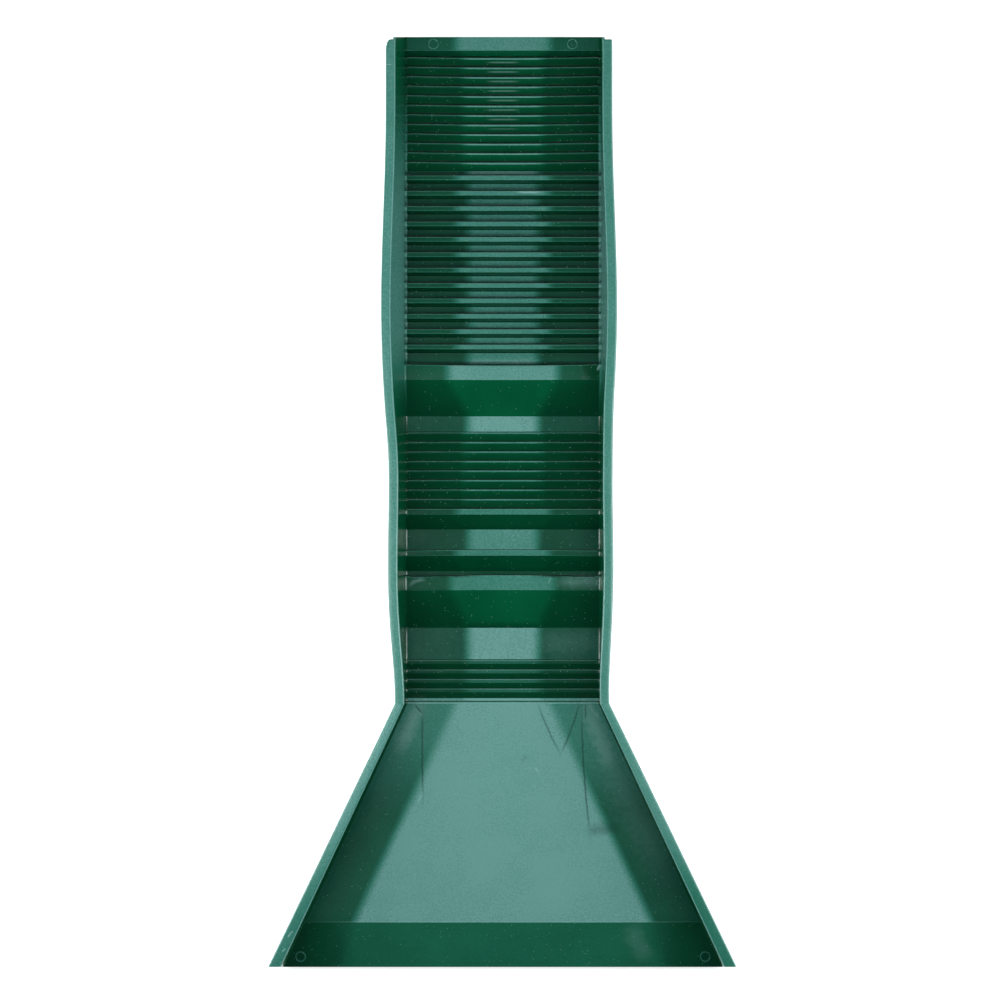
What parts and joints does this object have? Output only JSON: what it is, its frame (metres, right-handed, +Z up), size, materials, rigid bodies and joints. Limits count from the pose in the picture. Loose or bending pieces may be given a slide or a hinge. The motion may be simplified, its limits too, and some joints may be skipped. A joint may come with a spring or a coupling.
{
  "type": "stream sluice tray",
  "caption": "Formed plastic sluice tray with a flared inlet, side walls with outward rims, and cross ribs of several sizes along its channel.",
  "frame": {"origin": "under the middle of the tray, in the plane of the undersides that it rests on", "axes": "+Y downstream, from the flared inlet to the outlet lip; +Z up; +X to the right of someone who looks downstream"},
  "size_m": [0.64, 1.27, 0.076],
  "materials": {
    "green_plastic": "glossy formed sheet"
  },
  "bodies": {
    "root": {"entry_lip": "green_plastic", "flare_floor": "green_plastic", "throat_drop": "green_plastic", "throat_ribs": "green_plastic", "upper_flat": "green_plastic", "upper_big_rib": "green_plastic", "small_rib_upper": "green_plastic", "pool_floor": "green_plastic", "small_rib_lower": "green_plastic", "middle_ribs": "green_plastic", "lower_flat": "green_plastic", "lower_big_rib": "green_plastic", "deep_ribs": "green_plastic", "tail_foot": "green_plastic", "tail_ribs": "green_plastic", "outlet_lip": "green_plastic", "flare_wall_left": "green_plastic", "flare_rim_left": "green_plastic", "channel_wall_left": "green_plastic", "channel_rim_left": "green_plastic", "flare_wall_right": "green_plastic", "flare_rim_right": "green_plastic", "channel_wall_right": "green_plastic", "channel_rim_right": "green_plastic"}
  },
  "joints": []
}
